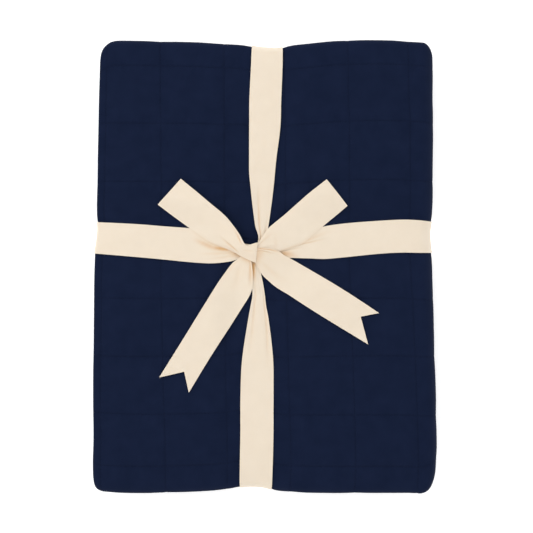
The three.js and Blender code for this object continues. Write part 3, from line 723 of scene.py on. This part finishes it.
def make_blanket():
    """One cut cloth, added flat at its size, given its thickness, then folded."""
    u_zones = (
        (0, HEM_ROUND, CELL_HEM), (HEM_ROUND, U_TURN_RIGHT, CELL_TOP), (U_TURN_RIGHT, U_RUN_1, CELL_TURN),
        (U_RUN_1, U_TURN_LEFT, CELL_HIDDEN), (U_TURN_LEFT, U_RUN_2, CELL_TURN),
        (U_RUN_2, U_TURN_LOW, CELL_HIDDEN), (U_TURN_LOW, U_RUN_3, CELL_TURN),
        (U_RUN_3, CUT_LENGTH - HEM_ROUND, CELL_UNDER), (CUT_LENGTH - HEM_ROUND, CUT_LENGTH, CELL_HEM),
    )
    v_zones = (
        (0, HEM_ROUND, CELL_HEM), (HEM_ROUND, V_FRONT_BEND, CELL_HIDDEN), (V_FRONT_BEND, V_LEAF, CELL_BEND),
        (V_LEAF, V_BACK_BEND, CELL_TOP), (V_BACK_BEND, V_BACK_EDGE, CELL_BEND),
        (V_BACK_EDGE, CUT_WIDTH - HEM_ROUND, CELL_HIDDEN), (CUT_WIDTH - HEM_ROUND, CUT_WIDTH, CELL_HEM),
    )
    u_lines = cloth_lines(u_zones, SEAMS_U)
    v_lines = cloth_lines(v_zones, SEAMS_V)
    blanket, u, v = flat_grid("quilted_blanket", u_lines, v_lines)
    move_points(blanket, np.stack([u, v, np.zeros_like(u)], 1) * MM)
    apply_modifier(blanket, "SOLIDIFY", thickness=LEAF * MM, offset=0)
    u, v, n = face_centres(blanket).T
    outside = n > LEAF / 4
    on_leaf = (v > V_LEAF) & (v < V_BACK_BEND)
    subdivide_faces(blanket, outside & on_leaf & (u > HEM_ROUND) & (u < U_TURN_RIGHT), TOP_CUTS)
    u, v, n = face_centres(blanket).T
    outside = n > LEAF / 4
    on_leaf = (v > V_LEAF) & (v < V_BACK_BEND)
    on_bend = ((v > V_FRONT_BEND) & (v < V_LEAF)) | ((v > V_BACK_BEND) & (v < V_BACK_EDGE))
    right_turn = (u > U_TURN_RIGHT) & (u < U_RUN_1) | (u > U_TURN_LOW) & (u < U_RUN_3)
    left_turn = (u > U_TURN_LEFT) & (u < U_RUN_2)
    subdivide_faces(blanket, outside & (on_bend | right_turn & on_leaf | left_turn & ~on_leaf), BEND_CUTS)
    flat = points_of(blanket) / MM
    lay_uv(blanket, flat[:, :2])
    # Painted shade along the seam grooves: how near each point lies to a seam
    mark_points(blanket, "seam", np.maximum(seam_shade_share(SEAMS_U, flat[:, 0]), seam_shade_share(SEAMS_V, flat[:, 1])))
    move_points(blanket, fold(*flat.T) * MM)
    point_outwards(blanket)
    return blanket


def stitch_row(along_u, seam, start, end):
    """A row of stitches on the flat cloth, along a seam from start to end."""
    order = [0, 1, 2] if along_u else [1, 0, 2]
    place = np.array((start, seam, LEAF / 2 + STITCH_HEIGHT / 4))[order]
    size = np.array((STITCH_LENGTH, STITCH_WIDTH, STITCH_HEIGHT))[order]
    step = np.array((STITCH_PITCH, 0, 0))[order]
    deselect_all()
    bpy.ops.mesh.primitive_ico_sphere_add(subdivisions=1, radius=MM / 2)
    row = bpy.context.object
    move_points(row, points_of(row) * size + place * MM)
    apply_modifier(
        row, "ARRAY", count=int((end - start) / STITCH_PITCH), use_relative_offset=False,
        use_constant_offset=True, constant_offset_displace=tuple(step * MM),
    )
    return row


def make_stitches():
    """The quilting thread where it shows, sewn in rows on the flat cloth and folded with it."""
    rows = []
    for seam in SEAMS_U:
        if seam <= U_TURN_RIGHT or seam >= U_RUN_3:
            rows.append((False, seam, V_FRONT_BEND - STITCH_OVER, V_BACK_EDGE + STITCH_OVER))
        else:
            rows.append((False, seam, V_FRONT_BEND - STITCH_OVER, V_LEAF + STITCH_OVER))
            rows.append((False, seam, V_BACK_BEND - STITCH_OVER, V_BACK_EDGE + STITCH_OVER))
    for seam in SEAMS_V:
        if V_LEAF < seam < V_BACK_BEND:
            rows.append((True, seam, STITCH_FROM_HEM, U_RUN_1 + STITCH_OVER))
            rows.append((True, seam, U_TURN_LOW - STITCH_OVER, CUT_LENGTH - STITCH_FROM_HEM))
        else:
            rows.append((True, seam, U_TURN_LEFT - STITCH_OVER, U_RUN_2 + STITCH_OVER))
    made = [stitch_row(*row) for row in rows]
    deselect_all()
    for row in made:
        row.select_set(True)
    thread = made[0]
    bpy.context.view_layer.objects.active = thread
    bpy.ops.object.join()
    thread.name = "quilting_thread"
    thread.data.name = "quilting_thread"
    move_points(thread, fold(*(points_of(thread) / MM).T) * MM)
    point_outwards(thread)
    return thread


# The ribbon

def creased(creases, distance, share):
    """Height and painted shade of the creases at a distance from the knot and a share of the way across."""
    height = np.zeros_like(distance)
    painted_shade_share = np.zeros_like(distance)
    for start, end, place, end_place, width, rise, painted_shade in creases:
        t = np.clip((distance - start) / (end - start), 0, 1)
        middle = place + (end_place - place) * t
        fade = 1 - smooth_step(t, CREASE_FADE_OUT, 1)
        if start > 0:
            fade = fade * smooth_step(t, 0, CREASE_FADE_IN)
        profile = fade * np.exp(-(((share - middle) / width) ** 2))
        height += rise * profile
        painted_shade_share = np.maximum(painted_shade_share, painted_shade * profile)
    return height, painted_shade_share


def sharpen_rim(strip, on_rim):
    """Keeps the rim of a strip crisp. Its two faces have the same points, one face after the other."""
    mesh = strip.data
    ends = np.empty(len(mesh.edges) * 2, int)
    mesh.edges.foreach_get("vertices", ends)
    ends = ends.reshape(-1, 2)
    count = len(on_rim)
    in_one_face = (ends < count).all(1) | (ends >= count).all(1)
    sharp = on_rim[ends % count].all(1) & in_one_face
    mesh.attributes.new("sharp_edge", "BOOLEAN", "EDGE").data.foreach_set("value", sharp)


def lay_ribbon(name, stations, creases_at, columns=41, taper=None):
    """A strip of ribbon through stations: centre, side, normal, half width, distance from the knot
    and length along it."""
    centre, side, normal, half, distance, length = stations
    shares = np.linspace(-1, 1, columns)
    strip, number, share = flat_grid(name, np.arange(len(half)), shares)
    number = number.astype(int)
    lift, painted_shade_share = creases_at(distance[number], share, number)
    spots = centre[number] + side[number] * (share * half[number])[:, None] + normal[number] * lift[:, None]
    if taper is not None:
        spots = spots + taper(number, share)
    move_points(strip, settle(*spots.T, taut=True) * MM)
    lay_uv(strip, np.stack([length[number], share * FULL_HALF], 1))
    # Painted shade, warm and darker towards the knot, along the creases and where other ribbon lies over it
    near = KNOT_PAINTED_SHADE * (1 - smooth_step(distance[number], 0, KNOT_PAINTED_SHADE_REACH))
    mark_points(strip, "painted_shade", np.maximum(near, painted_shade_share))
    apply_modifier(strip, "SOLIDIFY", thickness=RIBBON * MM, offset=0)
    at_end = (number == 0) | (number == len(half) - 1)
    sharpen_rim(strip, at_end | (np.abs(share) == 1))
    point_outwards(strip)
    return strip, length[-1]


def hump(at, centre, reach, ramp, rise):
    return rise * (1 - smooth_step(np.abs(at - centre), reach, reach + ramp))


def band_way(half_span, near_radius, far_radius, start):
    """A band's way round the bundle from the knot back to it, in its own plane: the place along the
    span, the height, the angle of its face and how much it is gathered."""
    top = HEIGHT + BAND_LIFT
    rows = []

    def corner(sign, up):
        radius = far_radius if sign > 0 else near_radius
        reach = radius + BAND_LIFT
        middle = BAND_UNDER + reach if not up else HEIGHT - radius
        turn_from = math.pi / 2 if up else 0
        if sign < 0:
            turn_from += math.pi / 2 if up else -math.pi / 2
        steps = max(CORNER_STEPS, int(radius))
        for i in range(steps + 1):
            angle = turn_from - math.pi / 2 * i / steps
            share = 1 - i / steps if sign > 0 else i / steps
            place = sign * (half_span - radius) + reach * math.cos(angle)
            rows.append((place, middle + reach * math.sin(angle), angle, share if up else 0))

    def level(start_at, end_at, z, angle, step, gather):
        count = max(2, int(abs(end_at - start_at) / step))
        for i in range(count):
            rows.append((start_at + (end_at - start_at) * i / count, z, angle, gather))

    def side(sign, going_down):
        radius = far_radius if sign > 0 else near_radius
        high = HEIGHT - radius
        low = BAND_UNDER + radius + BAND_LIFT
        angle = 0 if sign > 0 else -math.pi
        first, last = (high, low) if going_down else (low, high)
        for i in range(1, SIDE_STEPS):
            rows.append((sign * (half_span + BAND_LIFT), first + (last - first) * i / SIDE_STEPS, angle, 0))

    level(start, half_span - far_radius, top, math.pi / 2, TOP_STEP, 1)
    corner(1, True)
    side(1, True)
    corner(1, False)
    level(half_span - far_radius, near_radius - half_span, BAND_UNDER, -math.pi / 2, UNDER_STEP, 0)
    corner(-1, False)
    side(-1, False)
    corner(-1, True)
    end = start - BAND_END_GAP
    level(near_radius - half_span, end, top, math.pi / 2, TOP_STEP, 1)
    rows.append((end, top, math.pi / 2, 1))
    way = np.array(rows)
    keep = np.append(True, np.hypot(*np.diff(way[:, :2], axis=0).T) > SAME_PLACE)
    return way[keep].T


def along_way(place, z):
    """Length along a band's way, and the distance to the knot by the shorter way."""
    steps = np.hypot(np.diff(place), np.diff(z))
    length = np.append(0, np.cumsum(steps))
    return length, np.minimum(length, length[-1] - length)


def make_band_long():
    y, z, angle, gathered = band_way(HALF_LENGTH, DOUBLE / 2, DOUBLE / 2, CROSSING_Y)
    length, distance = along_way(y, z)
    rise = hump(y, CROSSING_Y, LONG_RISE_REACH, LONG_RISE_RAMP, LONG_RISE)
    z = z + np.where(z > HEIGHT / 2, rise, 0)
    reached = np.clip(y, -HALF_LENGTH, HALF_LENGTH)
    half = SIDE_HALF + (along(BAND_LONG, reached, 2) - SIDE_HALF) * gathered
    centre = np.stack([along(BAND_LONG, reached, 1), y, z], 1)
    flat = np.zeros_like(y)
    side = np.stack([flat + 1, flat, flat], 1)
    normal = np.stack([flat, np.cos(angle), np.sin(angle)], 1)
    on_back = np.arange(len(y)) < len(y) / 2

    def creases(far, share, number):
        back = creased(CREASES_LONG_BACK, far, share)
        front = creased(CREASES_LONG_FRONT, far, share)
        return np.where(on_back[number], back, front)

    return lay_ribbon("ribbon_round_long", (centre, side, normal, half, distance, length), creases)


def make_band_cross():
    x, z, angle, gathered = band_way(HALF_WIDTH, HEM_CORNER, (PASS_PITCH + DOUBLE) / 2, CROSSING_X)
    length, distance = along_way(x, z)
    over = hump(x, CROSSING_X, CROSSING_REACH, CROSSING_RAMP, CROSSING_RISE)
    under = hump(x, CROSSING_X, UNDER_CROSSING_REACH, CROSSING_RAMP, UNDER_CROSSING_RISE)
    z = z + np.where(z > HEIGHT / 2, over, under)
    reached = np.clip(x, -HALF_WIDTH, HALF_WIDTH)
    half = SIDE_HALF + (along(BAND_CROSS, reached, 2) - SIDE_HALF) * gathered
    centre = np.stack([x, along(BAND_CROSS, reached, 1), z], 1)
    flat = np.zeros_like(x)
    side = np.stack([flat, flat + 1, flat], 1)
    normal = np.stack([np.cos(angle), flat, np.sin(angle)], 1)
    on_right = np.arange(len(x)) < len(x) / 2

    def creases(far, share, number):
        right = creased(CREASES_CROSS_RIGHT, far, share)
        left = creased(CREASES_CROSS_LEFT, far, share)
        return np.where(on_right[number], right, left)

    return lay_ribbon("ribbon_round_cross", (centre, side, normal, half, distance, length), creases)


def bow_stations(rows, at):
    """Stations of a free stretch of ribbon above the bundle, between its two edges."""
    first = np.stack([along(rows, at, column) for column in (1, 2, 3)], 1)
    second = np.stack([along(rows, at, column) for column in (4, 5, 6)], 1)
    centre = (first + second) / 2 + (0, 0, HEIGHT)
    half = np.linalg.norm(first - second, axis=1) / 2
    return centre, (first - second) / (2 * half[:, None]), half


def finish_stations(centre, side):
    """The direction of a stretch's face, and the length along it."""
    forward = np.gradient(centre, axis=0)
    normal = np.cross(forward, side)
    normal /= np.linalg.norm(normal, axis=1)[:, None]
    length = np.append(0, np.cumsum(np.linalg.norm(np.diff(centre, axis=0), axis=1)))
    return normal, length


def crowned(distance, share):
    """The rise of a loose ribbon's middle over its edges, near the knot."""
    rise = np.clip(distance / CROWN_REACH, 0, 1)
    return CROWN * (1 - share**2) * np.sin(math.pi * rise)


def make_loop(name, rows, creases, upper_from, steps=46, turn_steps=10):
    """A flat loop: out along its lower sheet, round the end, and back along its upper sheet."""
    end = rows[-1][0]
    upper_at = np.linspace(upper_from, end, steps)
    upper, side, half = bow_stations(rows, upper_at)
    lower_at = np.linspace(0, end, steps)
    lower, level, lower_half = bow_stations(rows, lower_at)
    lower_half *= 1 - TUCK * smooth_step(end - lower_at, 0, TUCK_END)
    lower[:, 2] = HEIGHT + along(rows, lower_at, 7)
    level = level * (1, 1, 0)
    level /= np.linalg.norm(level, axis=1)[:, None]
    outward = np.array([level[-1, 1], -level[-1, 0], 0])
    outward *= np.sign(outward @ (upper[-1] - upper[0]))
    radius = (upper[-1, 2] - lower[-1, 2]) / 2
    angles = np.linspace(0, math.pi, turn_steps + 1)[1:-1]
    turn = lower[-1] + np.outer(radius * np.sin(angles), outward)
    turn[:, 2] = lower[-1, 2] + radius * (1 - np.cos(angles))
    turn_side = level[-1] + np.outer((1 - np.cos(angles)) / 2, side[-1] - level[-1])
    centre = np.concatenate([lower, turn, upper[::-1]])
    sides = np.concatenate([level, turn_side, side[::-1]])
    halves = np.concatenate([lower_half, np.full(len(turn), half[-1]), half[::-1]])
    distance = np.concatenate([lower_at, np.full(len(turn), end), upper_at[::-1]]) - rows[0][0]
    normal, length = finish_stations(centre, sides)
    upper_sheet = np.arange(len(halves)) >= len(lower)
    up = np.sign(normal[:, 2])
    from_knot = distance + rows[0][0] - upper_from
    to_end = end - upper_from - from_knot
    droop = DROOP * smooth_step(from_knot, 0, DROOP_START) * smooth_step(to_end, 0, TUCK_END)

    def lift(far, share, number):
        height, painted_shade_share = creased(creases, far, share)
        height = height + crowned(far, share) - droop[number] * smooth_step(np.abs(share), 1 - TUCK, 1)
        height = height * up[number]
        return height * upper_sheet[number], painted_shade_share * upper_sheet[number]

    return lay_ribbon(name, (centre, sides, normal, halves, distance, length), lift)


def make_knot(steps=24):
    """The turn of the knot: the stretch of the left loop's upper sheet that wraps the crossing."""
    at = np.linspace(LOOP_LEFT[0][0], KNOT_END, steps)
    centre, side, half = bow_stations(LOOP_LEFT, at)
    normal, length = finish_stations(centre, side)
    up = np.sign(normal[:, 2])

    def lift(far, share, number):
        height, painted_shade_share = creased(CREASES_LOOP_LEFT, far, share)
        return (height + crowned(far, share)) * up[number], painted_shade_share

    stations = (centre, side, normal, half, at - LOOP_LEFT[0][0], length)
    return lay_ribbon("ribbon_knot", stations, lift)


def make_tail(name, rows, creases, apex, steps=56):
    """A free end, cut with a V notch."""
    at = np.linspace(rows[0][0], rows[-1][0], steps)
    centre, side, half = bow_stations(rows, at)
    normal, length = finish_stations(centre, side)
    forward = np.gradient(centre, axis=0)
    forward /= np.linalg.norm(forward, axis=1)[:, None]
    up = np.sign(normal[:, 2])
    cut = np.clip((length / length[-1] - NOTCH_FROM) / (1 - NOTCH_FROM), 0, 1)

    def lift(far, share, number):
        height, painted_shade_share = creased(creases, far, share)
        return height * up[number], painted_shade_share

    def notch(number, share):
        depth = NOTCH * np.interp(share, (-1, apex, 1), (0, 1, 0))
        return -forward[number] * (depth * cut[number])[:, None]

    return lay_ribbon(name, (centre, side, normal, half, length, length), lift, taper=notch)


def tie(made, material, node):
    """Finishes a stretch of the ribbon."""
    strip, length = made
    give_finish(strip, material, node)
    return strip


# Finishes

def new_material(name):
    material = bpy.data.materials.new(name)
    material.use_nodes = True
    tree = material.node_tree
    shader = tree.nodes["Principled BSDF"]
    return material, tree, shader


def add_node(tree, kind, **settings):
    node = tree.nodes.new(kind)
    for key, value in settings.items():
        setattr(node, key, value)
    return node


def set_sockets(shader, values):
    for name, value in values.items():
        shader.inputs[name].default_value = value


def math_node(tree, operation, *values):
    node = add_node(tree, "ShaderNodeMath", operation=operation)
    for socket, value in zip(node.inputs, values):
        if isinstance(value, (int, float)):
            socket.default_value = value
        else:
            tree.links.new(value, socket)
    return node.outputs[0]


def ripple(tree, coordinate, pitch):
    """A wave from 0 to 1 along a coordinate in metres, one for each pitch in millimetres."""
    turned = math_node(tree, "MULTIPLY", coordinate, 2 * math.pi / (pitch * MM))
    return math_node(tree, "MULTIPLY_ADD", math_node(tree, "SINE", turned), 0.5, 0.5)


def mottle(tree, scale, detail):
    place = add_node(tree, "ShaderNodeTexCoord")
    noise = add_node(tree, "ShaderNodeTexNoise")
    noise.inputs["Scale"].default_value = scale
    noise.inputs["Detail"].default_value = detail
    tree.links.new(place.outputs["Object"], noise.inputs["Vector"])
    return noise.outputs["Fac"]


def two_tones(tree, share, low, high, start=0.3, end=0.7):
    tones = add_node(tree, "ShaderNodeValToRGB")
    tones.color_ramp.elements[0].position = start
    tones.color_ramp.elements[0].color = (*low, 1)
    tones.color_ramp.elements[1].position = end
    tones.color_ramp.elements[1].color = (*high, 1)
    tree.links.new(share, tones.inputs["Fac"])
    return tones.outputs["Color"]


def relief(tree, shader, height, distance, strength):
    bump = add_node(tree, "ShaderNodeBump")
    bump.inputs["Distance"].default_value = distance * MM
    bump.inputs["Strength"].default_value = strength
    tree.links.new(height, bump.inputs["Height"])
    tree.links.new(bump.outputs["Normal"], shader.inputs["Normal"])


def cloth_place(tree):
    uv = add_node(tree, "ShaderNodeUVMap", uv_map="cloth")
    parts = add_node(tree, "ShaderNodeSeparateXYZ")
    tree.links.new(uv.outputs["UV"], parts.inputs["Vector"])
    return parts.outputs["X"], parts.outputs["Y"]


def navy_jersey():
    """Soft knitted cotton: columns of small stitches, a faint mottle, and painted shade along the seams."""
    material, tree, shader = new_material("navy_jersey")
    u, v = cloth_place(tree)
    columns = ripple(tree, u, KNIT_COLUMN)
    slant = math_node(tree, "MULTIPLY", columns, KNIT_SLANT * MM)
    rows = ripple(tree, math_node(tree, "ADD", v, slant), KNIT_ROW)
    knit = math_node(tree, "MULTIPLY", columns, rows)
    tone = two_tones(tree, mottle(tree, scale=55, detail=5), *NAVY_TONES)
    # Painted shade along the seams, multiplied into the mottled tone
    seam_shade_attribute = add_node(tree, "ShaderNodeAttribute", attribute_name="seam")
    shade = add_node(tree, "ShaderNodeMix", data_type="RGBA", blend_type="MULTIPLY")
    share = math_node(tree, "MULTIPLY", seam_shade_attribute.outputs["Fac"], PAINTED_SEAM_SHADE_SHARE)
    tree.links.new(share, shade.inputs["Factor"])
    tree.links.new(tone, shade.inputs["A"])
    shade.inputs["B"].default_value = PAINTED_SEAM_SHADE
    tree.links.new(shade.outputs["Result"], shader.inputs["Base Color"])
    set_sockets(shader, {"Roughness": 0.9, "Specular IOR Level": 0.06})
    set_sockets(shader, {"Sheen Weight": 0.02, "Sheen Roughness": 0.5})
    relief(tree, shader, knit, KNIT_RELIEF, strength=0.5)
    return material


def navy_thread():
    """Matt sewing thread, a little darker than the cloth: partly its own tone, partly painted shade of its
    seam groove.
    """
    material, tree, shader = new_material("navy_thread")
    tone = two_tones(tree, mottle(tree, scale=900, detail=2), *THREAD_TONES)
    tree.links.new(tone, shader.inputs["Base Color"])
    set_sockets(shader, {"Roughness": 0.8, "Specular IOR Level": 0.08})
    return material


def cream_ribbon():
    """Matt cotton ribbon: a close plain weave that lets a little light in, with warm painted shade in its
    folds.
    """
    material, tree, shader = new_material("cream_ribbon")
    u, v = cloth_place(tree)
    weave = math_node(tree, "MULTIPLY", ripple(tree, u, WEFT_PITCH), ripple(tree, v, WARP_PITCH))
    tone = two_tones(tree, mottle(tree, scale=70, detail=4), *CREAM_TONES)
    # Warm painted shade from the ribbon's point attribute, multiplied into its tone
    crease = add_node(tree, "ShaderNodeAttribute", attribute_name="painted_shade")
    painted_shade_mix = add_node(tree, "ShaderNodeMix", data_type="RGBA", blend_type="MULTIPLY")
    tree.links.new(crease.outputs["Fac"], painted_shade_mix.inputs["Factor"])
    tree.links.new(tone, painted_shade_mix.inputs["A"])
    painted_shade_mix.inputs["B"].default_value = PAINTED_RIBBON_SHADE
    tree.links.new(painted_shade_mix.outputs["Result"], shader.inputs["Base Color"])
    set_sockets(shader, {"Roughness": 0.85, "Specular IOR Level": 0.15})
    set_sockets(shader, {"Sheen Weight": 0.05, "Sheen Roughness": 0.4, "Subsurface Weight": 0.5})
    set_sockets(shader, {"Subsurface Radius": (1, 1, 1), "Subsurface Scale": LIGHT_REACH * MM})
    relief(tree, shader, weave, WEAVE_RELIEF, strength=0.45)
    return material


def pale_floor():
    material, _, shader = new_material("pale_floor")
    set_sockets(shader, {"Base Color": FLOOR_TONE, "Roughness": 0.9, "Specular IOR Level": 0.1})
    set_sockets(shader, {"Emission Color": WHITE, "Emission Strength": 0.48})
    return material


# The stage

def add_floor():
    deselect_all()
    bpy.ops.mesh.primitive_plane_add(size=FLOOR_SIZE * MM)
    floor = bpy.context.object
    floor.name = "floor"
    floor.data.materials.append(pale_floor())


def add_light():
    world = bpy.data.worlds.new("studio")
    world.use_nodes = True
    sky = world.node_tree.nodes["Background"]
    set_sockets(sky, {"Color": WHITE, "Strength": SKY_STRENGTH})
    bpy.context.scene.world = world
    deselect_all()
    bpy.ops.object.light_add(type="AREA", location=[value * MM for value in KEY_PLACE])
    key = bpy.context.object
    key.name = "key_light"
    key.data.size = KEY_SIZE * MM
    key.data.energy = KEY_POWER
    key.rotation_euler = (-key.location).to_track_quat("-Z", "Y").to_euler()


def add_camera():
    deselect_all()
    place = [value * MM for value in (CAMERA_X, CAMERA_Y, CAMERA_HEIGHT)]
    bpy.ops.object.camera_add(location=place, rotation=(0, 0, 0))
    camera = bpy.context.object
    camera.data.lens = CAMERA_LENS
    camera.data.sensor_width = SENSOR
    bpy.context.scene.camera = camera
    bpy.context.scene.view_settings.view_transform = "Standard"


add_camera()
add_light()
add_floor()

jersey = navy_jersey()
ribbon = cream_ribbon()

blanket = make_blanket()
thread = make_stitches()
give_finish(blanket, jersey, "blanket")
give_finish(thread, navy_thread(), None)

band_long = tie(make_band_long(), ribbon, "ribbon_band_long")
band_cross = tie(make_band_cross(), ribbon, "ribbon_band_cross")
tie(
    make_tail("bow_left_tail", TAIL_LEFT, CREASES_TAIL_LEFT, NOTCH_LEFT),
    ribbon, "bow_tail_left",
)
tail_right = tie(
    make_tail("bow_right_tail", TAIL_RIGHT, CREASES_TAIL_RIGHT, NOTCH_RIGHT),
    ribbon, "bow_tail_right",
)
tie(
    make_loop("bow_left_loop", LOOP_LEFT, CREASES_LOOP_LEFT, KNOT_END + KNOT_GAP),
    ribbon, "bow_loop_left",
)
tie(
    make_loop("bow_right_loop", LOOP_RIGHT, CREASES_LOOP_RIGHT, LOOP_RIGHT[0][0]),
    ribbon, "bow_loop_right",
)
tie(make_knot(), ribbon, "bow_knot")
